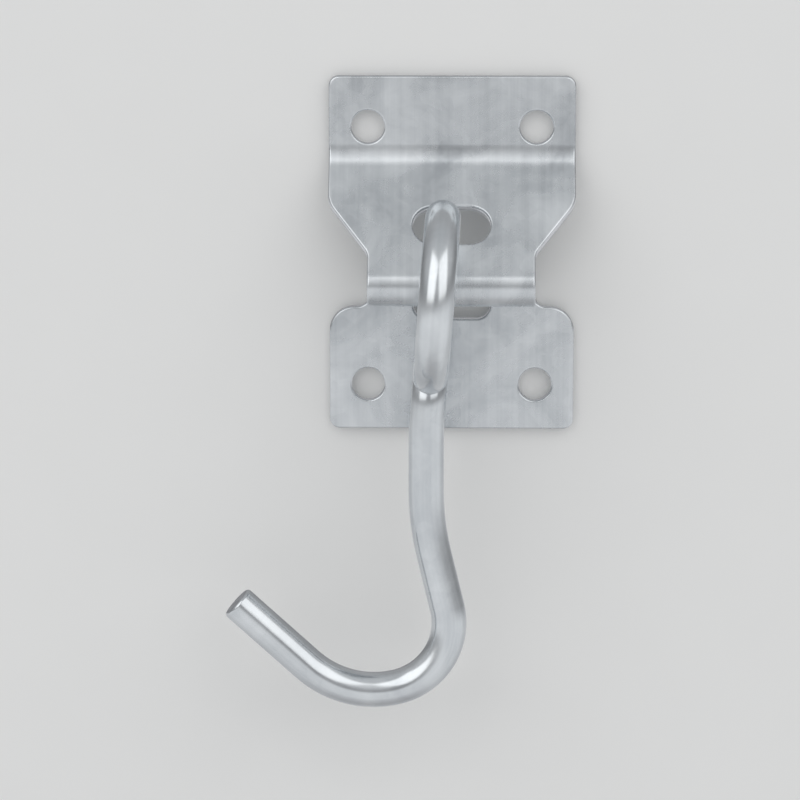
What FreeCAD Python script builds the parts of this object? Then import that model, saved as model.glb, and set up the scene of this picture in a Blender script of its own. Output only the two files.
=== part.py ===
import FreeCAD, Part
import math
import os
import re
import Sketcher
from FreeCAD import Placement, Rotation, Vector

# A wall hook for a hammock: a bent sheet bracket and a bent bar hook that swings in it.
# Millimetres. +Z is up, the wall is the plane Y = 0 and the front looks towards -Y.
# The origin is the centre of the four screw holes, on the back of the plate.

doc = FreeCAD.newDocument("HammockHook")
sheet = doc.addObject("Spreadsheet::Sheet", "dims")

# Driving sizes, in millimetres and degrees
DRIVING = {
    # Bracket: strip, screw holes and margins beyond them
    "sheet_thickness": 2.0,
    "plate_width": 49.0,
    "hole_diameter": 6.6,
    "hole_pitch_across": 33.5,
    "hole_pitch_up": 52.0,
    "top_margin": 10.1,
    "bottom_margin": 9.1,
    "corner_radius": 2.0,
    # Bracket: bends of the strip
    "upper_flat": 13.48,
    "upper_bend_inside": 7.0,
    "slope_angle": 38.0,
    "bend_inside": 2.0,
    "bracket_depth": 19.4,
    "nose_inside": 2.2,
    # Bracket: waisted outline from the slope down to the lower flange
    "neck_width": 33.0,
    "taper_start": 10.8,
    "neck_length": 4.9,
    "shoulder_radius": 6.0,
    "neck_radius": 3.0,
    "ear_drop": 0.5,
    "ear_radius": 5.0,
    "ear_blend": 2.4,
    # Bracket: bar that the eye hangs on, and the slots either side of it
    "bar_length": 7.0,
    "slot_side_play": 8.4,
    "slot_clearance": 1.0,
    "tail_clearance": 1.5,
    "slot_corner": 2.8,
    # Hook: bar and eye
    "rod_diameter": 7.0,
    "eye_inside": 24.0,
    "throat_radius": 7.0,
    "neck_run": 1.0,
    "end_gap": 0.4,
    "end_chamfer": 0.4,
    # Hook: how the eye hangs in the bracket
    "wall_gap": 2.0,
    "seat_gap": 0.3,
    "eye_offset": 2.8,
    "lean_angle": 4.4,
    # Hook: shank, sideways set, bowl and tip
    "lean_radius": 60.0,
    "shank_run": 10.6,
    "set_angle": 13.6,
    "set_radius": 55.0,
    "set_run": 11.2,
    "bowl_angle": 90.0,
    "bowl_radius": 13.7,
    "lip_angle": 56.0,
    "lip_radius": 19.4,
    "tip_run": 19.1,
}

# Sizes that follow from them
DERIVED = {
    # Bracket: path of the middle of the sheet, from the top edge to the bottom edge
    "half_sheet": "sheet_thickness / 2",
    "top_edge": "hole_pitch_up / 2 + top_margin",
    "bottom_edge": "hole_pitch_up / 2 + bottom_margin",
    "upper_bend_radius": "upper_bend_inside + half_sheet",
    "bend_radius": "bend_inside + half_sheet",
    "nose_radius": "nose_inside + half_sheet",
    "bend_setback": "upper_bend_radius * tan(slope_angle / 2)",
    "apex_height": "top_edge - upper_flat - bend_setback",
    "nose_depth": "bracket_depth - nose_inside - sheet_thickness",
    "slope_length": "(nose_depth + nose_radius * cos(slope_angle) - half_sheet) / sin(slope_angle)",
    "slope_run": "slope_length - bend_setback",
    "nose_top": "apex_height - slope_length * cos(slope_angle)",
    "nose_turn": "90 + slope_angle",
    "leg_height": "nose_top - nose_radius * sin(slope_angle) - nose_radius",
    "leg_run": "nose_depth - half_sheet - bend_radius",
    "flat_start": "leg_height - bend_radius",
    "lower_run": "flat_start + bottom_edge",
    "ear_height": "flat_start - ear_drop",
    "taper_end": "slope_length - neck_length",
    "neck_top": "nose_top + half_sheet * sin(slope_angle)",
    # Bracket: edge of the upper slot that the eye hangs on
    "seat_along": "slope_length - bar_length",
    "seat_depth": "half_sheet + seat_along * sin(slope_angle) + half_sheet * cos(slope_angle)",
    "seat_height": "apex_height - seat_along * cos(slope_angle) + half_sheet * sin(slope_angle)",
    # Hook: eye and where its middle hangs
    "rod_radius": "rod_diameter / 2",
    "eye_radius": "eye_inside / 2 + rod_radius",
    "eye_outside": "eye_radius + rod_radius",
    "eye_depth": "wall_gap + eye_outside",
    "seat_rise": "sqrt((eye_inside / 2 - seat_gap) ^ 2 - (eye_depth - seat_depth) ^ 2)",
    "eye_height": "seat_height - seat_rise * cos(lean_angle)",
    # Hook: throat that leads from the shank into the eye, and where the eye's free end stops
    "throat_drop": "sqrt(eye_radius ^ 2 + 2 * eye_radius * throat_radius)",
    "throat_reach": "eye_radius + throat_radius",
    "throat_angle": "asin(throat_radius / throat_reach) / 1 deg",
    "throat_turn": "90 - throat_angle",
    "end_reach": "throat_radius + rod_radius + end_gap",
    "end_cosine": "(throat_reach ^ 2 + eye_outside ^ 2 - end_reach ^ 2) / (2 * throat_reach * eye_outside)",
    "end_angle": "acos(end_cosine) / 1 deg - throat_angle",
    "eye_turn": "360 - throat_angle - end_angle",
    "joint_drop": "throat_drop + neck_run",
    # Bracket: slots, sized to let the eye turn in them
    "slot_width": "rod_diameter + slot_side_play",
    "eye_along": "(eye_depth - half_sheet) * sin(slope_angle) + (apex_height - eye_height) * cos(slope_angle)",
    "slot_top": "eye_along - eye_outside - slot_clearance",
    "slot_height": "seat_along - slot_top",
    "leg_offset": "abs(leg_height - eye_height) + half_sheet",
    "slot_front": "eye_depth - sqrt((eye_inside / 2 - slot_clearance) ^ 2 - leg_offset ^ 2)",
    "flange_chord": "max(0; (eye_outside + tail_clearance) ^ 2 - (eye_depth - sheet_thickness) ^ 2)",
    "slot_bottom": "min(flat_start; eye_height - sqrt(flange_chord))",
}

for row, (name, size) in enumerate(DRIVING.items(), start=1):
    sheet.set(f"A{row}", name)
    sheet.set(f"B{row}", str(size))
    sheet.setAlias(f"B{row}", name)
for row, (name, formula) in enumerate(DERIVED.items(), start=len(DRIVING) + 2):
    sheet.set(f"A{row}", name)
    sheet.set(f"B{row}", "=" + formula)
    sheet.setAlias(f"B{row}", name)
doc.recompute()


# Sheet names as other objects read them, and the numbers that sketches give to points
SHEET_NAMES = {name: f"dims.{name}" for name in (*DRIVING, *DERIVED)}
START = 1
END = 2
CENTRE = 3
ORIGIN = (-1, 1)


def in_sheet(formula):
    """Write a formula of sheet names so that an object outside the sheet can use it."""
    return re.sub(r"[a-z_]+", lambda word: SHEET_NAMES.get(word[0], word[0]), formula)


def size_of(formula):
    """Value of a formula of sheet names."""
    return float(sheet.evalExpression(formula))


def plane_of(body, role):
    """One of the body's own origin planes."""
    return next(plane for plane in body.Origin.OriginFeatures if plane.Role == role)


def add_sketch(body, name, role):
    """Empty sketch on one of the body's origin planes."""
    sketch = body.newObject("Sketcher::SketchObject", name)
    sketch.AttachmentSupport = [(plane_of(body, role), "")]
    sketch.MapMode = "FlatFace"
    return sketch


def dimension(sketch, kind, *where, formula):
    """Add a dimension that follows a formula of sheet names."""
    value = size_of(formula)
    if kind == "Angle":
        value = math.radians(value)
    index = sketch.addConstraint(Sketcher.Constraint(kind, *where, value))
    sketch.setExpression(f"Constraints[{index}]", in_sheet(formula))


def place_point(sketch, point, across, up):
    """Tie a point of a sketch to the sketch's origin."""
    dimension(sketch, "DistanceX", *ORIGIN, *point, formula=across)
    dimension(sketch, "DistanceY", *ORIGIN, *point, formula=up)


def add_run(sketch, point, heading, formula):
    """Straight stretch, with the heading measured from straight down towards +X of the sketch."""
    length = size_of(formula)
    far = point + Vector(math.sin(heading), -math.cos(heading), 0) * length
    line = sketch.addGeometry(Part.LineSegment(point, far), False)
    dimension(sketch, "Distance", line, formula=formula)
    return line, START, END, far, heading


def add_bend(sketch, point, heading, turn_formula, radius_formula, side):
    """Arc that turns the heading to one side: +1 is counter-clockwise."""
    radius = size_of(radius_formula)
    turn = math.radians(size_of(turn_formula)) * side
    outward = Vector(math.cos(heading), math.sin(heading), 0)
    centre = point + outward * radius * side
    first = heading if side < 0 else heading + math.pi
    sweep = sorted((first, first + turn))
    circle = Part.Circle(centre, Vector(0, 0, 1), radius)
    arc = sketch.addGeometry(Part.ArcOfCircle(circle, *sweep), False)
    dimension(sketch, "Radius", arc, formula=radius_formula)
    dimension(sketch, "Angle", arc, formula=turn_formula)
    far = centre + Vector(math.cos(first + turn), math.sin(first + turn), 0) * radius
    entry, leave = (START, END) if side > 0 else (END, START)
    return arc, entry, leave, far, heading + turn


def draw_path(sketch, across, up, heading, moves):
    """Draw straight runs and bends, each tangent to the last; the first is an upright run."""
    point = Vector(size_of(across), size_of(up), 0)
    last = None
    for move in moves:
        if move[0] == "run":
            piece, entry, leave, point, heading = add_run(sketch, point, heading, *move[1:])
        else:
            piece, entry, leave, point, heading = add_bend(sketch, point, heading, *move[1:])
        if last is None:
            sketch.addConstraint(Sketcher.Constraint("Vertical", piece))
            place_point(sketch, (piece, entry), across, up)
        else:
            sketch.addConstraint(Sketcher.Constraint("Tangent", *last, piece, entry))
        last = (piece, leave)
    return last


def draw_outline(sketch, corners):
    """Closed outline of straight lines through corners given as pairs of formulas."""
    places = [Vector(size_of(across), size_of(up), 0) for across, up in corners]
    lines = []
    for here, there in zip(places, places[1:] + places[:1]):
        lines.append(sketch.addGeometry(Part.LineSegment(here, there), False))
    for line, following in zip(lines, lines[1:] + lines[:1]):
        sketch.addConstraint(Sketcher.Constraint("Coincident", line, END, following, START))
    for line, (across, up) in zip(lines, corners):
        place_point(sketch, (line, START), across, up)
    return lines


def draw_trough(sketch, left, right, top, bottom, corner):
    """Closed outline with a level top and two rounded corners at its bottom."""
    first = sketch.GeometryCount
    side_run = f"{top} - ({bottom}) - {corner}"
    last = draw_path(sketch, left, top, 0, [
        ("run", side_run),
        ("bend", "90", corner, 1),
        ("run", f"{right} - ({left}) - 2 * {corner}"),
        ("bend", "90", corner, 1),
        ("run", side_run),
    ])
    top_line = Part.LineSegment(sketch.getPoint(*last), sketch.getPoint(first, START))
    top_line = sketch.addGeometry(top_line, False)
    sketch.addConstraint(Sketcher.Constraint("Coincident", *last, top_line, START))
    sketch.addConstraint(Sketcher.Constraint("Coincident", top_line, END, first, START))


def cut(body, name, sketch, formula):
    """Cut a sketch out of the body, half of the depth to either side of its plane."""
    before = body.Shape.Volume
    pocket = body.newObject("PartDesign::Pocket", name)
    pocket.Profile = sketch
    pocket.Type = "Length"
    pocket.SideType = "Symmetric"
    pocket.setExpression("Length", in_sheet(formula))
    doc.recompute()
    if body.Shape.Volume >= before:
        raise RuntimeError(f"{name} cuts nothing")
    return pocket


def draw_obround(sketch, width, height, up):
    """Slot with round ends, centred across the sketch."""
    middle = f"{up} - {height} / 2"
    radius = size_of(f"{height} / 2")
    ends = {}
    for side, first in ((1, -math.pi / 2), (-1, math.pi / 2)):
        across = f"{side} * ({width} - {height}) / 2"
        centre = Vector(size_of(across), size_of(middle), 0)
        circle = Part.Circle(centre, Vector(0, 0, 1), radius)
        ends[side] = sketch.addGeometry(Part.ArcOfCircle(circle, first, first + math.pi), False)
        place_point(sketch, (ends[side], CENTRE), across, middle)
    for side in ends:
        line = Part.LineSegment(sketch.getPoint(ends[side], END), sketch.getPoint(ends[-side], START))
        line = sketch.addGeometry(line, False)
        sketch.addConstraint(Sketcher.Constraint("Tangent", ends[side], END, line, START))
        sketch.addConstraint(Sketcher.Constraint("Tangent", line, END, ends[-side], START))
    dimension(sketch, "Radius", ends[1], formula=f"{height} / 2")


def sweep(body, name, section, path):
    """Sweep a section along a path of lines and arcs."""
    pipe = body.newObject("PartDesign::AdditivePipe", name)
    pipe.Profile = section
    pipe.Spine = path
    doc.recompute()
    return pipe


def dress_edges(body, kind, name, size_property, formula, places):
    """Round or chamfer the edges whose middles are nearest to the given places."""
    base = body.Tip
    edges = []
    for place in places:
        distances = [(edge.CenterOfMass - place).Length for edge in base.Shape.Edges]
        edges.append(f"Edge{distances.index(min(distances)) + 1}")
    feature = body.newObject(f"PartDesign::{kind}", name)
    feature.Base = (base, edges)
    feature.setExpression(size_property, in_sheet(formula))
    doc.recompute()


# Bracket: one strip of sheet, bent away from the wall, round a nose and back to the wall
bracket = doc.addObject("PartDesign::Body", "bracket")
strip_path = add_sketch(bracket, "StripPath", "YZ_Plane")
draw_path(strip_path, "-half_sheet", "top_edge", 0, [
    ("run", "upper_flat"),
    ("bend", "slope_angle", "upper_bend_radius", -1),
    ("run", "slope_run"),
    ("bend", "nose_turn", "nose_radius", 1),
    ("run", "leg_run"),
    ("bend", "90", "bend_radius", -1),
    ("run", "lower_run"),
])
strip_section = add_sketch(bracket, "StripSection", "XY_Plane")
strip_section.setExpression("AttachmentOffset.Base.z", in_sheet("top_edge"))
draw_outline(strip_section, [
    ("-plate_width / 2", "-sheet_thickness"),
    ("plate_width / 2", "-sheet_thickness"),
    ("plate_width / 2", "0"),
    ("-plate_width / 2", "0"),
])
sweep(bracket, "Strip", strip_section, strip_path)

# Places on the slope are measured along it from the bend at its top
SLOPE = math.radians(size_of("slope_angle"))
SIDES = (1, -1)


def add_slope_sketch(name):
    """Empty sketch in the middle of the sheet on the slope, with its origin at the upper bend."""
    sketch = add_sketch(bracket, name, "XZ_Plane")
    sketch.AttachmentOffset = Placement(Vector(), Rotation(Vector(-1, 0, 0), size_of("slope_angle")))
    sketch.setExpression("AttachmentOffset.Base.y", in_sheet("apex_height"))
    sketch.setExpression("AttachmentOffset.Base.z", in_sheet("half_sheet"))
    sketch.setExpression("AttachmentOffset.Rotation.Angle", in_sheet("slope_angle"))
    return sketch


def on_slope(across, along):
    """Point in the middle of the sheet on the slope."""
    depth = size_of("half_sheet") + along * math.sin(SLOPE)
    return Vector(across, -depth, size_of("apex_height") - along * math.cos(SLOPE))


# Bracket: waist, cut square to the slope, and neck, cut past the nose to the ears of the lower flange
waist = add_slope_sketch("WaistOutline")
neck = add_sketch(bracket, "NeckOutline", "XZ_Plane")
for side in SIDES:
    draw_outline(waist, [
        (f"{side} * plate_width / 2", "-taper_start"),
        (f"{side} * neck_width / 2", "-taper_end"),
        (f"{side} * neck_width / 2", "-slope_length"),
        (f"{side} * plate_width", "-slope_length"),
        (f"{side} * plate_width", "-taper_start"),
    ])
draw_trough(neck, "neck_width / 2", "plate_width", "neck_top", "ear_height", "ear_blend")
draw_trough(neck, "-plate_width", "-neck_width / 2", "neck_top", "ear_height", "ear_blend")
cut(bracket, "Waist", waist, "3 * sheet_thickness")
cut(bracket, "Neck", neck, "3 * bracket_depth")

# Bracket: screw holes
holes = add_sketch(bracket, "HolePlaces", "XZ_Plane")
for side in SIDES:
    for level in SIDES:
        across = f"{side} * hole_pitch_across / 2"
        up = f"{level} * hole_pitch_up / 2"
        centre = Vector(size_of(across), size_of(up), 0)
        circle = Part.Circle(centre, Vector(0, 0, 1), size_of("hole_diameter / 2"))
        hole = holes.addGeometry(circle, False)
        place_point(holes, (hole, CENTRE), across, up)
        dimension(holes, "Radius", hole, formula="hole_diameter / 2")
cut(bracket, "Holes", holes, "4 * sheet_thickness")

# Bracket: upper slot in the slope, and lower slot from the return leg round the bend into the flange
upper_slot = add_slope_sketch("UpperSlotOutline")
draw_obround(upper_slot, "slot_width", "slot_height", "-slot_top")
cut(bracket, "UpperSlot", upper_slot, "3 * sheet_thickness")
leg_slot = add_sketch(bracket, "LegSlotOutline", "XY_Plane")
leg_slot.setExpression("AttachmentOffset.Base.z", in_sheet("leg_height"))
draw_trough(leg_slot, "-slot_width / 2", "slot_width / 2", "sheet_thickness", "-slot_front", "slot_corner")
cut(bracket, "LegSlot", leg_slot, "2 * bend_radius")
flange_slot = add_sketch(bracket, "FlangeSlotOutline", "XZ_Plane")
draw_trough(flange_slot, "-slot_width / 2", "slot_width / 2", "leg_height", "slot_bottom", "slot_corner")
cut(bracket, "FlangeSlot", flange_slot, "4 * sheet_thickness")

# Bracket: rounded corners of the outline
half_width = size_of("plate_width / 2")
half_neck = size_of("neck_width / 2")
mid_sheet = -size_of("half_sheet")
top = size_of("top_edge")
bottom = -size_of("bottom_edge")
ear = size_of("ear_height")
ROUNDED = [
    ("Shoulders", "shoulder_radius", [on_slope(side * half_width, size_of("taper_start")) for side in SIDES]),
    ("NeckBlends", "neck_radius", [on_slope(side * half_neck, size_of("taper_end")) for side in SIDES]),
    ("Ears", "ear_radius", [Vector(side * half_width, mid_sheet, ear) for side in SIDES]),
    ("Corners", "corner_radius",
     [Vector(side * half_width, mid_sheet, level) for side in SIDES for level in (top, bottom)]),
]
for name, radius, places in ROUNDED:
    dress_edges(bracket, "Fillet", name, "Radius", radius, places)

# Hook: one length of round bar, modelled about the middle of its eye and hung in the slots
hook = doc.addObject("PartDesign::Body", "hook")
bar_section = add_sketch(hook, "BarSection", "XY_Plane")
bar_section.setExpression("AttachmentOffset.Base.z", in_sheet("-joint_drop"))
bar = bar_section.addGeometry(Part.Circle(Vector(), Vector(0, 0, 1), size_of("rod_radius")), False)
bar_section.addConstraint(Sketcher.Constraint("Coincident", bar, CENTRE, *ORIGIN))
dimension(bar_section, "Radius", bar, formula="rod_radius")

# Hook: eye, which leaves the shank towards the wall, goes over the top and ends in front of the throat
eye_path = add_sketch(hook, "EyePath", "YZ_Plane")
eye_end = draw_path(eye_path, "0", "-joint_drop", math.pi, [
    ("run", "neck_run"),
    ("bend", "throat_turn", "throat_radius", -1),
    ("bend", "eye_turn", "eye_radius", 1),
])
sweep(hook, "Eye", bar_section, eye_path)

# Hook: shank, sideways set, bowl and straight tip
bowl_path = add_sketch(hook, "BowlPath", "XZ_Plane")
tip_end = draw_path(bowl_path, "0", "-joint_drop", 0, [
    ("run", "neck_run"),
    ("bend", "lean_angle", "lean_radius", 1),
    ("run", "shank_run"),
    ("bend", "set_angle", "set_radius", 1),
    ("run", "set_run"),
    ("bend", "bowl_angle", "bowl_radius", -1),
    ("bend", "lip_angle", "lip_radius", -1),
    ("run", "tip_run"),
])
sweep(hook, "Bowl", bar_section, bowl_path)

# Hook: cut ends of the bar, with their burrs taken off
eye_point = eye_path.getPoint(*eye_end)
tip_point = bowl_path.getPoint(*tip_end)
dress_edges(hook, "Chamfer", "CutEnds", "Size", "end_chamfer", [
    Vector(0, eye_point.x, eye_point.y),
    Vector(tip_point.x, 0, tip_point.y),
])
hook.Placement = Placement(Vector(), Rotation(Vector(0, 1, 0), size_of("lean_angle")))
hook.setExpression("Placement.Base.x", in_sheet("-eye_offset"))
hook.setExpression("Placement.Base.y", in_sheet("-eye_depth"))
hook.setExpression("Placement.Base.z", in_sheet("eye_height"))
hook.setExpression("Placement.Rotation.Angle", in_sheet("lean_angle"))
doc.recompute()

# Every object has to be sound before anything is written
for item in doc.Objects:
    if {"Invalid", "Error"} & set(item.State):
        raise RuntimeError(f"{item.Name} failed: {item.State}")
for body in (bracket, hook):
    if body.Shape.isNull() or not body.Shape.isValid():
        raise RuntimeError(f"{body.Label} has no valid shape")

os.makedirs("parts", exist_ok=True)
for body in (bracket, hook):
    body.Shape.exportStep(f"parts/{body.Label}.step")
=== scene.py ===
import math

import bpy
import numpy as np
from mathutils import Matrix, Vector


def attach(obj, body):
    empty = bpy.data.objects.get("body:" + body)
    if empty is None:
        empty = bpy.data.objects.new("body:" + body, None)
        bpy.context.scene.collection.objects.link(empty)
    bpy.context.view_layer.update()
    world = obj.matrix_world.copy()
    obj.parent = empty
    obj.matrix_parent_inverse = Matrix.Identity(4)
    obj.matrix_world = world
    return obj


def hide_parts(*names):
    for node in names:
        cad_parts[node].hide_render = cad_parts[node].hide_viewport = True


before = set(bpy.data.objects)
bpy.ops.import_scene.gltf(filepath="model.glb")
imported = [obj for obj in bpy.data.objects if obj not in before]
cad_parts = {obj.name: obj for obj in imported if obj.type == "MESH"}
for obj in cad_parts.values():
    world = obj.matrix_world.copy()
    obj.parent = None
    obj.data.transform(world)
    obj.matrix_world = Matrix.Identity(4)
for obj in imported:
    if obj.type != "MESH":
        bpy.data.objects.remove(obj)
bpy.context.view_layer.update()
scene = bpy.context.scene
scene.view_settings.view_transform = "Standard"


# Wall and floor of the studio: plain pale boards that catch the shadow.
# The wall stands just behind the plate. Both boards show only to an eye on their painted
# side, so that the back and the underside of the hook are seen and lit as well.
board_size = 12.0
wall_gap = 0.0006
floor_height = -0.32
upright = (math.pi / 2, 0.0, 0.0)


def add_node(tree, kind, **values):
    """Add a node, and set its properties and input sockets by name."""
    node = tree.nodes.new(kind)
    for name, value in values.items():
        if name in node.inputs:
            node.inputs[name].default_value = value
        else:
            setattr(node, name, value)
    return node


def start_material(name):
    """Empty material with its output node."""
    material = bpy.data.materials.new(name)
    material.use_nodes = True
    tree = material.node_tree
    tree.nodes.clear()
    return material, tree, add_node(tree, "ShaderNodeOutputMaterial")


def paint_board(name, colour, glow):
    """Matt paint with a faint roller mottle and some light of its own.

    Only an eye in front of the board sees it.
    """
    material, tree, output = start_material(name)
    place = add_node(tree, "ShaderNodeTexCoord")
    mottle = add_node(tree, "ShaderNodeTexNoise", Scale=60.0, Detail=3.0)
    tint = add_node(tree, "ShaderNodeMix", data_type="RGBA")
    darker = [channel * 0.985 for channel in colour]
    tint.inputs["A"].default_value = (*darker, 1.0)
    tint.inputs["B"].default_value = (*colour, 1.0)
    paint = add_node(tree, "ShaderNodeBsdfDiffuse", Roughness=0.8)
    shine = add_node(tree, "ShaderNodeEmission", Strength=glow)
    lit_paint = add_node(tree, "ShaderNodeAddShader")
    path = add_node(tree, "ShaderNodeLightPath")
    side = add_node(tree, "ShaderNodeNewGeometry")
    front = add_node(tree, "ShaderNodeMath", operation="SUBTRACT", use_clamp=True)
    clear = add_node(tree, "ShaderNodeBsdfTransparent")
    seen = add_node(tree, "ShaderNodeMixShader")
    link = tree.links.new
    link(place.outputs["Object"], mottle.inputs["Vector"])
    link(mottle.outputs["Fac"], tint.inputs["Factor"])
    link(tint.outputs["Result"], paint.inputs["Color"])
    link(tint.outputs["Result"], shine.inputs["Color"])
    link(paint.outputs["BSDF"], lit_paint.inputs[0])
    link(shine.outputs["Emission"], lit_paint.inputs[1])
    link(path.outputs["Is Camera Ray"], front.inputs[0])
    link(side.outputs["Backfacing"], front.inputs[1])
    link(front.outputs["Value"], seen.inputs["Fac"])
    link(clear.outputs["BSDF"], seen.inputs[1])
    link(lit_paint.outputs["Shader"], seen.inputs[2])
    link(seen.outputs["Shader"], output.inputs["Surface"])
    return material


bpy.ops.object.select_all(action="DESELECT")
bpy.ops.mesh.primitive_plane_add(size=board_size, location=(0.0, wall_gap, 0.0), rotation=upright)
wall = bpy.context.object
wall.name = "studio_wall"
wall.data.materials.append(paint_board("wall_paint", (0.82, 0.82, 0.81), glow=0.0))
bpy.ops.mesh.primitive_plane_add(size=board_size, location=(0.0, 0.0, floor_height))
floor = bpy.context.object
floor.name = "studio_floor"
floor.data.materials.append(paint_board("floor_paint", (0.62, 0.62, 0.61), glow=0.55))


# Light and camera: a pale room with a darker band at eye level, two large soft boxes above
# and either side of the camera, and a long lens a little above the hook, where the
# photograph was taken from.
room_below = (0.52, 0.52, 0.53, 1.0)
room_above = (0.60, 0.615, 0.63, 1.0)
room_tint = (0.98, 0.99, 1.01)
room_rear = 0.74

# Room: each band is a height, from 0 straight down to 1 straight up, and its grey
room_bands = (
    (0.10, 0.80), (0.40, 0.90), (0.455, 0.64), (0.49, 0.40),
    (0.56, 0.38), (0.62, 0.50), (0.67, 0.58), (0.88, 0.63),
)
world = bpy.data.worlds.new("pale_room")
scene.world = world
world.use_nodes = True
sky = world.node_tree
sky.nodes.clear()
sky_out = add_node(sky, "ShaderNodeOutputWorld")
sky_place = add_node(sky, "ShaderNodeTexCoord")
sky_parts = add_node(sky, "ShaderNodeSeparateXYZ")
sky_height = add_node(sky, "ShaderNodeMapRange")
sky_height.inputs["From Min"].default_value = -1.0
sky_height.inputs["From Max"].default_value = 1.0
sky_ramp = add_node(sky, "ShaderNodeValToRGB")
sky_ramp.color_ramp.elements[0].color = room_below
sky_ramp.color_ramp.elements[1].color = room_above
for height, grey in room_bands:
    band = sky_ramp.color_ramp.elements.new(height)
    band.color = (*[grey * part for part in room_tint], 1.0)

# Room: dimmer behind the wall, so that the edges of the bar stand out from it
sky_rear = add_node(sky, "ShaderNodeMapRange", interpolation_type="SMOOTHSTEP")
sky_rear.inputs["From Min"].default_value = -0.1
sky_rear.inputs["From Max"].default_value = 0.6
sky_rear.inputs["To Min"].default_value = 1.0
sky_rear.inputs["To Max"].default_value = room_rear
sky_back = add_node(sky, "ShaderNodeBackground")
sky.links.new(sky_place.outputs["Generated"], sky_parts.inputs["Vector"])
sky.links.new(sky_parts.outputs["Z"], sky_height.inputs["Value"])
sky.links.new(sky_height.outputs["Result"], sky_ramp.inputs["Fac"])
sky.links.new(sky_ramp.outputs["Color"], sky_back.inputs["Color"])
sky.links.new(sky_parts.outputs["Y"], sky_rear.inputs["Value"])
sky.links.new(sky_rear.outputs["Result"], sky_back.inputs["Strength"])
sky.links.new(sky_back.outputs["Background"], sky_out.inputs["Surface"])

middle_of_hook = Vector((-0.010, -0.018, -0.026))
soft_box_side = 1.25
for name, place, power in (
    ("soft_box_left", (-0.72, -0.92, 0.67), 4.4),
    ("soft_box_right", (0.70, -0.93, 0.67), 3.8),
):
    bpy.ops.object.light_add(type="AREA", location=place)
    lamp = bpy.context.object
    lamp.name = name
    lamp.data.shape = "RECTANGLE"
    lamp.data.size = soft_box_side
    lamp.data.size_y = soft_box_side
    lamp.data.energy = power
    lamp.rotation_euler = (middle_of_hook - Vector(place)).to_track_quat("-Z", "Y").to_euler()

camera_place = Vector((0.0056, -0.7035, 0.1144))
bpy.ops.object.camera_add(location=camera_place)
camera = bpy.context.object
camera.rotation_euler = (middle_of_hook - camera_place).to_track_quat("-Z", "Y").to_euler()
camera.data.sensor_width = 36.0
camera.data.lens = 160.0
scene.camera = camera


# Bracket: one strip of galvanised sheet steel, 2 mm thick. The flat blank is cropped to its
# outline, its screw holes and slots are punched, its edges are broken, and then it is bent
# away from the wall, round the nose that carries the eye, and back to the wall.
mm = 0.001
sheet_thick = 2.0 * mm
middle_of_sheet = -sheet_thick / 2
edge_break = 0.45 * mm
plate_half = 24.5 * mm
neck_half = 16.5 * mm
blank_top = 36.1 * mm
plate_corner = 2.0 * mm
shoulder_radius = 6.0 * mm
waist_radius = 3.0 * mm
ear_hollow = 2.4 * mm
ear_round = 5.0 * mm

# Bracket: straight runs of the strip from the top down, and the radius and turn of each bend
upper_run = 13.48 * mm
slope_run = 24.406 * mm
leg_run = 11.2 * mm
lower_run = 25.393 * mm
upper_bend = (8.0 * mm, -38.0)
nose_bend = (3.2 * mm, 128.0)
lower_bend = (3.0 * mm, -90.0)


def bend_length(bend):
    """Length of strip or bar that a bend takes along its middle."""
    radius, turn = bend
    return radius * math.radians(abs(turn))


# Bracket: places along the strip, measured from its top edge
slope_along = upper_run + bend_length(upper_bend)
nose_along = slope_along + slope_run
leg_along = nose_along + bend_length(nose_bend)
lower_bend_along = leg_along + leg_run
flange_along = lower_bend_along + bend_length(lower_bend)
blank_length = flange_along + lower_run
shoulder_along = slope_along + 8.045 * mm
neck_along = slope_along + 19.506 * mm
ear_along = flange_along + 0.5 * mm

# Bracket: where each bend starts, the bend, and the number of small folds that make it
bracket_bends = [
    (upper_run, upper_bend, 14),
    (nose_along, nose_bend, 26),
    (lower_bend_along, lower_bend, 18),
]
snap = 1e-6


def pick(piece, wanted, kind="VERT"):
    """Select in edit mode the points, edges or faces whose middle passes a test."""
    bpy.ops.object.mode_set(mode="OBJECT")
    mesh = piece.data
    for items in (mesh.vertices, mesh.edges, mesh.polygons):
        items.foreach_set("select", np.zeros(len(items), dtype=bool))
    places = [vertex.co for vertex in mesh.vertices]
    if kind == "VERT":
        for vertex in mesh.vertices:
            vertex.select = wanted(vertex.co)
    elif kind == "EDGE":
        for edge in mesh.edges:
            edge.select = wanted((places[edge.vertices[0]] + places[edge.vertices[1]]) / 2)
    else:
        for face in mesh.polygons:
            face.select = wanted(face.center)
    bpy.ops.object.mode_set(mode="EDIT")
    bpy.ops.mesh.select_mode(type=kind)


def take_hold(piece):
    """Select one piece alone, for the operators that follow."""
    bpy.ops.object.select_all(action="DESELECT")
    bpy.context.view_layer.objects.active = piece
    piece.select_set(True)


def upright_sheet(width, height, middle):
    """Flat sheet that stands upright, at its size and place."""
    bpy.ops.object.select_all(action="DESELECT")
    bpy.ops.mesh.primitive_plane_add(size=1.0, rotation=upright)
    sheet = bpy.context.object
    sheet.scale = (width, height, 1.0)
    sheet.location = middle
    bpy.ops.object.transform_apply(location=True, rotation=True, scale=True)
    return sheet


def draw_out(x=0.0, y=0.0, z=0.0):
    """Extrude what is selected by one step."""
    bpy.ops.mesh.extrude_region_move(TRANSFORM_OT_translate={"value": (x, y, z)})


def thicken(depth):
    """Give the flat outline in edit mode its thickness, towards the front."""
    bpy.ops.mesh.select_all(action="SELECT")
    draw_out(y=-depth)
    bpy.ops.mesh.select_all(action="SELECT")
    bpy.ops.mesh.normals_make_consistent(inside=False)
    bpy.ops.object.mode_set(mode="OBJECT")


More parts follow.
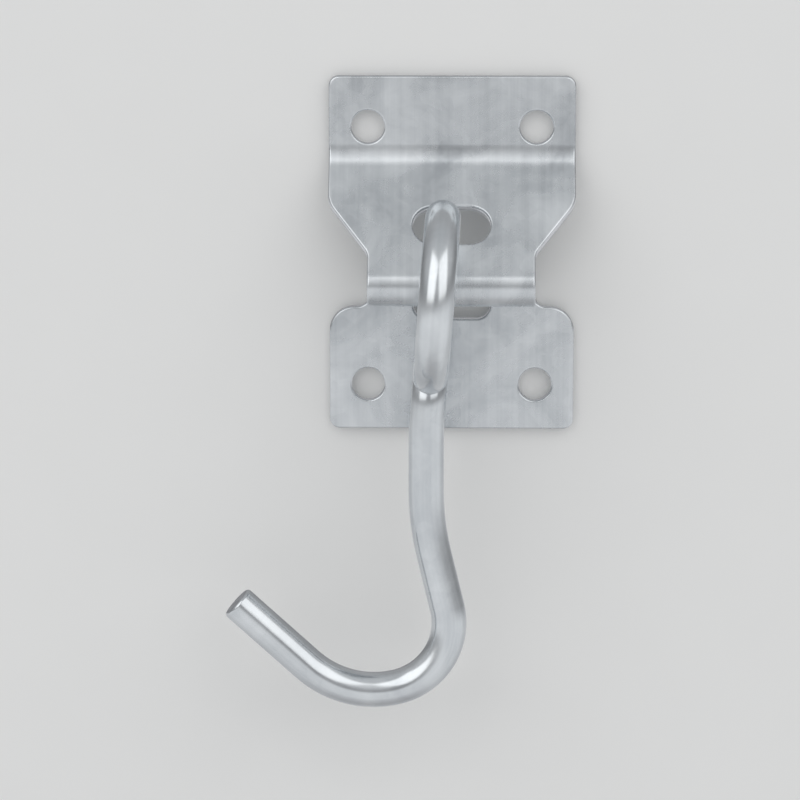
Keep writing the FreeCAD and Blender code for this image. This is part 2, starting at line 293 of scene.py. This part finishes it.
def round_corners(piece, corners, setback, steps):
    """Round the corners of a flat outline, starting the given distance from each corner."""
    pick(piece, lambda place: any((place - corner).length < 10 * snap for corner in corners))
    bpy.ops.mesh.bevel(offset=setback, segments=steps, affect="VERTICES")


def blank_point(across, along):
    """Place on the back of the flat blank."""
    return Vector((across, 0.0, blank_top - along))


bracket = upright_sheet(2 * plate_half, shoulder_along, (0.0, 0.0, blank_top - shoulder_along / 2))
bracket.name = "bracket_strip"

# Blank: waist, neck and lower flange drawn out of the upper plate
pick(bracket, lambda place: abs(place.z - blank_top + shoulder_along) < snap, "EDGE")
draw_out(z=shoulder_along - neck_along)
bpy.ops.transform.resize(value=(neck_half / plate_half, 1.0, 1.0))
draw_out(z=neck_along - ear_along)
draw_out(z=ear_along - blank_length)
ear_middle = blank_top - (ear_along + blank_length) / 2
for side in (1, -1):
    pick(
        bracket,
        lambda place: abs(place.x - side * neck_half) < snap and abs(place.z - ear_middle) < snap,
        "EDGE",
    )
    draw_out(x=side * (plate_half - neck_half))
bpy.ops.mesh.select_mode(type="FACE")
bpy.ops.mesh.select_all(action="SELECT")
bpy.ops.mesh.dissolve_faces()

# Blank: rounded corners, as the press tool leaves them
taper_turn = math.atan((plate_half - neck_half) / (neck_along - shoulder_along))
for across, along, setback, steps in (
    (plate_half, 0.0, plate_corner, 8),
    (plate_half, shoulder_along, shoulder_radius * math.tan(taper_turn / 2), 8),
    (neck_half, neck_along, waist_radius * math.tan(taper_turn / 2), 8),
    (neck_half, ear_along, ear_hollow, 10),
    (plate_half, ear_along, ear_round, 12),
    (plate_half, blank_length, plate_corner, 8),
):
    corners = [blank_point(side * across, along) for side in (1, -1)]
    round_corners(bracket, corners, setback, steps)
bpy.ops.mesh.select_mode(type="FACE")
thicken(sheet_thick)


def punch_out(piece, across, along, width, height, corner):
    """Punch a hole with rounded corners through the flat blank."""
    behind = Vector((0.0, sheet_thick, 0.0))
    punch = upright_sheet(width, height, blank_point(across, along) + behind)
    pick(punch, lambda place: True)
    bpy.ops.mesh.bevel(offset=corner, segments=16, affect="VERTICES", clamp_overlap=True)
    bpy.ops.mesh.select_mode(type="VERT")
    bpy.ops.mesh.select_all(action="SELECT")
    bpy.ops.mesh.remove_doubles(threshold=snap)
    thicken(3 * sheet_thick)
    take_hold(piece)
    hole = piece.modifiers.new("hole", "BOOLEAN")
    hole.operation = "DIFFERENCE"
    hole.solver = "EXACT"
    hole.object = punch
    bpy.ops.object.modifier_apply(modifier="hole")
    bpy.data.objects.remove(punch)


# Blank: four screw holes, the slot in the slope, and the slot below the nose
round_end = 0.4999
hole_size = 6.6 * mm
hole_across = 16.75 * mm
upper_hole_along = 10.1 * mm
lower_hole_along = flange_along + 16.293 * mm
for side in (1, -1):
    for along in (upper_hole_along, lower_hole_along):
        punch_out(
            bracket, side * hole_across, along, hole_size, hole_size, round_end * hole_size
        )
slot_width = 15.4 * mm
lower_slot_corner = 2.8 * mm
upper_slot_start = slope_along + 9.073 * mm
upper_slot_end = slope_along + 17.406 * mm
lower_slot_start = leg_along + 4.835 * mm
lower_slot_end = flange_along + 2.889 * mm
for start, end, corner in (
    (upper_slot_start, upper_slot_end, round_end * (upper_slot_end - upper_slot_start)),
    (lower_slot_start, lower_slot_end, lower_slot_corner),
):
    punch_out(bracket, 0.0, (start + end) / 2, slot_width, end - start, corner)


def break_edges(piece, width, clamp):
    """Round every sharp edge of the piece that is held."""
    edges = piece.modifiers.new("broken_edges", "BEVEL")
    edges.width = width
    edges.segments = 4
    edges.limit_method = "ANGLE"
    edges.angle_limit = math.radians(60.0)
    edges.use_clamp_overlap = clamp
    bpy.ops.object.modifier_apply(modifier="broken_edges")


def score_lines(piece, starts):
    """Cut rows of points across the straight stock where it will bend."""
    for start in starts:
        pick(piece, lambda place: True)
        bpy.ops.mesh.bisect(plane_co=start, plane_no=(0.0, 0.0, 1.0))
    bpy.ops.object.mode_set(mode="OBJECT")


# Blank: cut edges broken by tumbling, then lines scored across it where it will bend
break_edges(bracket, edge_break, clamp=False)
fold_lines = []
for along, bend, steps in bracket_bends:
    length = bend_length(bend)
    fold_lines += [blank_point(0.0, along + length * step / steps) for step in range(steps + 1)]
score_lines(bracket, fold_lines)


def keep_stock_places(piece):
    """Remember where each point lay in the straight stock, so that the finish follows the bends."""
    places = np.zeros(len(piece.data.vertices) * 3)
    piece.data.vertices.foreach_get("co", places)
    stock = piece.data.attributes.new("stock", "FLOAT_VECTOR", "POINT")
    stock.data.foreach_set("vector", places)
    return places.reshape(-1, 3)


def turn_points(piece, chosen, axis, degrees, centre):
    """Turn the chosen points of a piece about an axis through a place."""
    mesh = piece.data
    for items in (mesh.edges, mesh.polygons):
        items.foreach_set("select", np.zeros(len(items), dtype=bool))
    mesh.vertices.foreach_set("select", chosen)
    bpy.ops.object.mode_set(mode="EDIT")
    bpy.ops.transform.rotate(
        value=-math.radians(degrees),
        orient_axis=axis,
        orient_type="GLOBAL",
        center_override=centre,
    )
    bpy.ops.object.mode_set(mode="OBJECT")


# Bracket: cut faces are told apart while the blank is flat, and then it is bent, lowest bend first
cut_face = [abs(face.normal.y) < 0.5 for face in bracket.data.polygons]
bracket_stock = keep_stock_places(bracket)
bpy.context.tool_settings.mesh_select_mode = (True, False, False)
for along, bend, steps in reversed(bracket_bends):
    for step in reversed(range(steps)):
        line = blank_top - along - bend_length(bend) * (step + 0.5) / steps
        below = bracket_stock[:, 2] < line
        turn_points(bracket, below, "X", bend[1] / steps, (0.0, middle_of_sheet, line))


def finish_shading(piece, angle):
    """Smooth the bends and keep the flats flat."""
    take_hold(piece)
    bpy.ops.object.shade_smooth_by_angle(angle=math.radians(angle))
    flats = piece.modifiers.new("flats", "WEIGHTED_NORMAL")
    flats.keep_sharp = True
    bpy.ops.object.modifier_apply(modifier="flats")


finish_shading(bracket, 60.0)


# Bracket: the galvanised finish, which the hook shares
def make_zinc_skin():
    """Clouds, rolling streaks, crystals and specks of a zinc coat, laid out along the stock."""
    skin = bpy.data.node_groups.new("zinc_skin", "ShaderNodeTree")
    for name, kind in (
        ("Stock", "NodeSocketVector"),
        ("Streak Pitch", "NodeSocketFloat"),
        ("Cloud Scale", "NodeSocketFloat"),
    ):
        skin.interface.new_socket(name, in_out="INPUT", socket_type=kind)
    for name in ("Tone", "Dullness", "Height", "Speck"):
        skin.interface.new_socket(name, in_out="OUTPUT", socket_type="NodeSocketFloat")
    start = add_node(skin, "NodeGroupInput")
    end = add_node(skin, "NodeGroupOutput")
    clouds = add_node(skin, "ShaderNodeTexNoise", Detail=5.0, Roughness=0.55, Distortion=0.6)
    mottle = add_node(skin, "ShaderNodeTexNoise", Scale=620.0, Detail=4.0, Roughness=0.6)
    crystals = add_node(skin, "ShaderNodeTexVoronoi", Scale=420.0, Randomness=1.0)
    grey = add_node(skin, "ShaderNodeRGBToBW")
    stretch = add_node(skin, "ShaderNodeCombineXYZ", Z=9.0)
    along = add_node(skin, "ShaderNodeVectorMath", operation="MULTIPLY")
    streaks = add_node(skin, "ShaderNodeTexNoise", Scale=1.0, Detail=5.0, Roughness=0.65)
    pits = add_node(skin, "ShaderNodeTexVoronoi", Scale=190.0, Randomness=1.0)
    pit_size = add_node(skin, "ShaderNodeMapRange", interpolation_type="SMOOTHSTEP")
    pit_size.inputs["From Min"].default_value = 0.085
    pit_size.inputs["From Max"].default_value = 0.045
    pit_grey = add_node(skin, "ShaderNodeRGBToBW")
    pit_few = add_node(skin, "ShaderNodeMath", operation="GREATER_THAN")
    pit_few.inputs[1].default_value = 0.84
    pit = add_node(skin, "ShaderNodeMath", operation="MULTIPLY")
    link = skin.links.new
    link(start.outputs["Stock"], clouds.inputs["Vector"])
    link(start.outputs["Cloud Scale"], clouds.inputs["Scale"])
    link(start.outputs["Stock"], mottle.inputs["Vector"])
    link(start.outputs["Stock"], crystals.inputs["Vector"])
    link(crystals.outputs["Color"], grey.inputs["Color"])
    link(start.outputs["Streak Pitch"], stretch.inputs["X"])
    link(start.outputs["Streak Pitch"], stretch.inputs["Y"])
    link(start.outputs["Stock"], along.inputs[0])
    link(stretch.outputs["Vector"], along.inputs[1])
    link(along.outputs["Vector"], streaks.inputs["Vector"])
    link(start.outputs["Stock"], pits.inputs["Vector"])
    link(pits.outputs["Distance"], pit_size.inputs["Value"])
    link(pits.outputs["Color"], pit_grey.inputs["Color"])
    link(pit_grey.outputs["Val"], pit_few.inputs[0])
    link(pit_size.outputs["Result"], pit.inputs[0])
    link(pit_few.outputs["Value"], pit.inputs[1])

    def blend(first, second, share):
        """Mix two patterns, with the given share of the second."""
        mix = add_node(skin, "ShaderNodeMix", data_type="FLOAT", Factor=share)
        link(first, mix.inputs["A"])
        link(second, mix.inputs["B"])
        return mix.outputs["Result"]

    tone = blend(clouds.outputs["Fac"], streaks.outputs["Fac"], 0.27)
    tone = blend(tone, grey.outputs["Val"], 0.06)
    dullness = blend(clouds.outputs["Fac"], mottle.outputs["Fac"], 0.18)
    height = blend(mottle.outputs["Fac"], streaks.outputs["Fac"], 0.93)
    dent = add_node(skin, "ShaderNodeMath", operation="MULTIPLY_ADD")
    dent.inputs[1].default_value = -0.2
    link(pit.outputs["Value"], dent.inputs[0])
    link(height, dent.inputs[2])
    link(tone, end.inputs["Tone"])
    link(dullness, end.inputs["Dullness"])
    link(dent.outputs["Value"], end.inputs["Height"])
    link(pit.outputs["Value"], end.inputs["Speck"])
    return skin


zinc_skin = make_zinc_skin()


def zinc_coat(name, dark, light, gloss, dull, streak_pitch, cloud_scale, relief):
    """Galvanised steel: satin metal that varies in tone and gloss, with a few dark specks."""
    material, tree, output = start_material(name)
    stock = add_node(tree, "ShaderNodeAttribute", attribute_name="stock")
    skin = add_node(tree, "ShaderNodeGroup", node_tree=zinc_skin)
    skin.inputs["Streak Pitch"].default_value = streak_pitch
    skin.inputs["Cloud Scale"].default_value = cloud_scale
    tone = add_node(tree, "ShaderNodeValToRGB")
    tone.color_ramp.elements[0].position = 0.34
    tone.color_ramp.elements[0].color = (*dark, 1.0)
    tone.color_ramp.elements[1].position = 0.64
    tone.color_ramp.elements[1].color = (*light, 1.0)
    speck = add_node(tree, "ShaderNodeMix", data_type="RGBA")
    speck.inputs["B"].default_value = (0.16, 0.16, 0.17, 1.0)
    rough = add_node(tree, "ShaderNodeMapRange")
    rough.inputs["From Min"].default_value = 0.3
    rough.inputs["From Max"].default_value = 0.7
    rough.inputs["To Min"].default_value = gloss
    rough.inputs["To Max"].default_value = dull
    bump = add_node(tree, "ShaderNodeBump", Strength=relief, Distance=0.2 * mm)
    metal = add_node(tree, "ShaderNodeBsdfPrincipled", Metallic=1.0)
    link = tree.links.new
    link(stock.outputs["Vector"], skin.inputs["Stock"])
    link(skin.outputs["Tone"], tone.inputs["Fac"])
    link(tone.outputs["Color"], speck.inputs["A"])
    link(skin.outputs["Speck"], speck.inputs["Factor"])
    link(speck.outputs["Result"], metal.inputs["Base Color"])
    link(skin.outputs["Dullness"], rough.inputs["Value"])
    link(rough.outputs["Result"], metal.inputs["Roughness"])
    link(skin.outputs["Height"], bump.inputs["Height"])
    link(bump.outputs["Normal"], metal.inputs["Normal"])
    link(metal.outputs["BSDF"], output.inputs["Surface"])
    return material


def sheared_edge(name, bright, torn):
    """Cut edge of the sheet: a burnished band towards the front and a torn, rougher band behind it."""
    material, tree, output = start_material(name)
    stock = add_node(tree, "ShaderNodeAttribute", attribute_name="stock")
    parts = add_node(tree, "ShaderNodeSeparateXYZ")
    waver = add_node(tree, "ShaderNodeTexNoise", Scale=260.0, Detail=3.0)
    wave = add_node(tree, "ShaderNodeMath", operation="MULTIPLY_ADD")
    wave.inputs[1].default_value = 1.2 * mm
    band = add_node(tree, "ShaderNodeMapRange", interpolation_type="SMOOTHSTEP")
    band.inputs["From Min"].default_value = -0.6 * mm
    band.inputs["From Max"].default_value = -0.3 * mm
    squeeze = add_node(tree, "ShaderNodeVectorMath", operation="MULTIPLY")
    squeeze.inputs[1].default_value = (2600.0, 320.0, 2600.0)
    tear = add_node(tree, "ShaderNodeTexNoise", Scale=1.0, Detail=4.0, Roughness=0.7)
    tint = add_node(tree, "ShaderNodeMix", data_type="RGBA")
    tint.inputs["A"].default_value = (*bright, 1.0)
    tint.inputs["B"].default_value = (*torn, 1.0)
    rough = add_node(tree, "ShaderNodeMapRange")
    rough.inputs["To Min"].default_value = 0.26
    rough.inputs["To Max"].default_value = 0.52
    ridges = add_node(tree, "ShaderNodeMath", operation="MULTIPLY")
    bump = add_node(tree, "ShaderNodeBump", Strength=0.5, Distance=0.2 * mm)
    metal = add_node(tree, "ShaderNodeBsdfPrincipled", Metallic=1.0)
    link = tree.links.new
    link(stock.outputs["Vector"], parts.inputs["Vector"])
    link(stock.outputs["Vector"], waver.inputs["Vector"])
    link(stock.outputs["Vector"], squeeze.inputs[0])
    link(squeeze.outputs["Vector"], tear.inputs["Vector"])
    link(waver.outputs["Fac"], wave.inputs[0])
    link(parts.outputs["Y"], wave.inputs[2])
    link(wave.outputs["Value"], band.inputs["Value"])
    link(band.outputs["Result"], tint.inputs["Factor"])
    link(tint.outputs["Result"], metal.inputs["Base Color"])
    link(band.outputs["Result"], rough.inputs["Value"])
    link(rough.outputs["Result"], metal.inputs["Roughness"])
    link(tear.outputs["Fac"], ridges.inputs[0])
    link(band.outputs["Result"], ridges.inputs[1])
    link(ridges.outputs["Value"], bump.inputs["Height"])
    link(bump.outputs["Normal"], metal.inputs["Normal"])
    link(metal.outputs["BSDF"], output.inputs["Surface"])
    return material


bracket.data.materials.append(zinc_coat(
    "zinc_on_sheet",
    dark=(0.47, 0.495, 0.515),
    light=(0.73, 0.755, 0.77),
    gloss=0.22,
    dull=0.33,
    streak_pitch=520.0,
    cloud_scale=70.0,
    relief=0.06,
))
bracket.data.materials.append(sheared_edge(
    "sheared_sheet_edge",
    bright=(0.80, 0.81, 0.83),
    torn=(0.62, 0.63, 0.65),
))
bracket.data.polygons.foreach_set("material_index", cut_face)
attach(bracket, "bracket")
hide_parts("bracket")


# Hook: one length of galvanised round bar, 7 mm thick, cropped to length and bent cold.
# Its upper end closes into the eye that goes through both slots of the bracket; below the
# shank it is set sideways and curled into the open bowl with a straight tip.
bar_radius = 3.5 * mm
end_round = 0.7 * mm
end_margin = 1.0 * mm
throat_drop = 22.383 * mm
eye_place = Vector((-2.8 * mm, -21.0 * mm, -4.8986 * mm))
lean = 4.4

# Hook: runs and bends of the bar from its throat, up round the eye and down to the tip
eye_moves = [
    ("run", 1.0 * mm),
    ("bend", (7.0 * mm, -71.874), 16),
    ("bend", (15.5 * mm, 331.089), 72),
]
bowl_moves = [
    ("run", 1.0 * mm),
    ("bend", (60.0 * mm, -lean), 3),
    ("run", 10.6 * mm),
    ("bend", (55.0 * mm, -13.6), 6),
    ("run", 11.2 * mm),
    ("bend", (13.7 * mm, 90.0), 26),
    ("bend", (19.4 * mm, 56.0), 18),
    ("run", 19.1 * mm),
]


def lay_out(moves):
    """Length of bar that the moves take, and where each small bend is made along it."""
    reach, rows, folds = 0.0, [], []
    for kind, size, *steps in moves:
        if kind == "run":
            rows += [reach, reach + size]
            reach += size
            continue
        length, turn, steps = bend_length(size), size[1], steps[0]
        rows += [reach + length * step / steps for step in range(steps + 1)]
        folds += [(reach + length * (step + 0.5) / steps, turn / steps) for step in range(steps)]
        reach += length
    return reach, rows, folds


eye_length, eye_rows, eye_folds = lay_out(eye_moves)
bowl_length, bowl_rows, bowl_folds = lay_out(bowl_moves)
bar_top = eye_length - throat_drop
bar_bottom = -bowl_length - throat_drop
bpy.ops.object.select_all(action="DESELECT")
bpy.ops.mesh.primitive_cylinder_add(
    vertices=48,
    radius=bar_radius,
    depth=bar_top - bar_bottom,
    location=(0.0, 0.0, (bar_top + bar_bottom) / 2),
)
hook = bpy.context.object
hook.name = "hook_bar"
bpy.ops.object.transform_apply(location=True, rotation=True, scale=True)
break_edges(hook, end_round, clamp=True)
rows = {round(row - throat_drop, 7) for row in eye_rows}
rows |= {round(-row - throat_drop, 7) for row in bowl_rows}
score_lines(hook, [
    Vector((0.0, 0.0, row))
    for row in sorted(rows)
    if bar_bottom + end_margin < row < bar_top - end_margin
])

# Hook: the eye is bent towards the wall and round, and the bowl to the left, each from its far end
cropped_end = [abs(face.normal.z) > 0.9 for face in hook.data.polygons]
bar_stock = keep_stock_places(hook)
for reach, turn in reversed(eye_folds):
    line = reach - throat_drop
    turn_points(hook, bar_stock[:, 2] > line, "X", turn, (0.0, 0.0, line))
for reach, turn in reversed(bowl_folds):
    line = -reach - throat_drop
    turn_points(hook, bar_stock[:, 2] < line, "Y", turn, (0.0, 0.0, line))
take_hold(hook)
hook.rotation_euler = (0.0, math.radians(lean), 0.0)
hook.location = eye_place
bpy.ops.object.transform_apply(location=True, rotation=True, scale=True)
finish_shading(hook, 50.0)

hook.data.materials.append(zinc_coat(
    "zinc_on_bar",
    dark=(0.55, 0.575, 0.595),
    light=(0.72, 0.745, 0.76),
    gloss=0.15,
    dull=0.26,
    streak_pitch=900.0,
    cloud_scale=60.0,
    relief=0.04,
))
hook.data.materials.append(zinc_coat(
    "zinc_on_cropped_end",
    dark=(0.36, 0.37, 0.39),
    light=(0.62, 0.63, 0.65),
    gloss=0.36,
    dull=0.58,
    streak_pitch=700.0,
    cloud_scale=900.0,
    relief=0.6,
))
hook.data.polygons.foreach_set("material_index", cropped_end)
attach(hook, "hook")
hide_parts("hook")
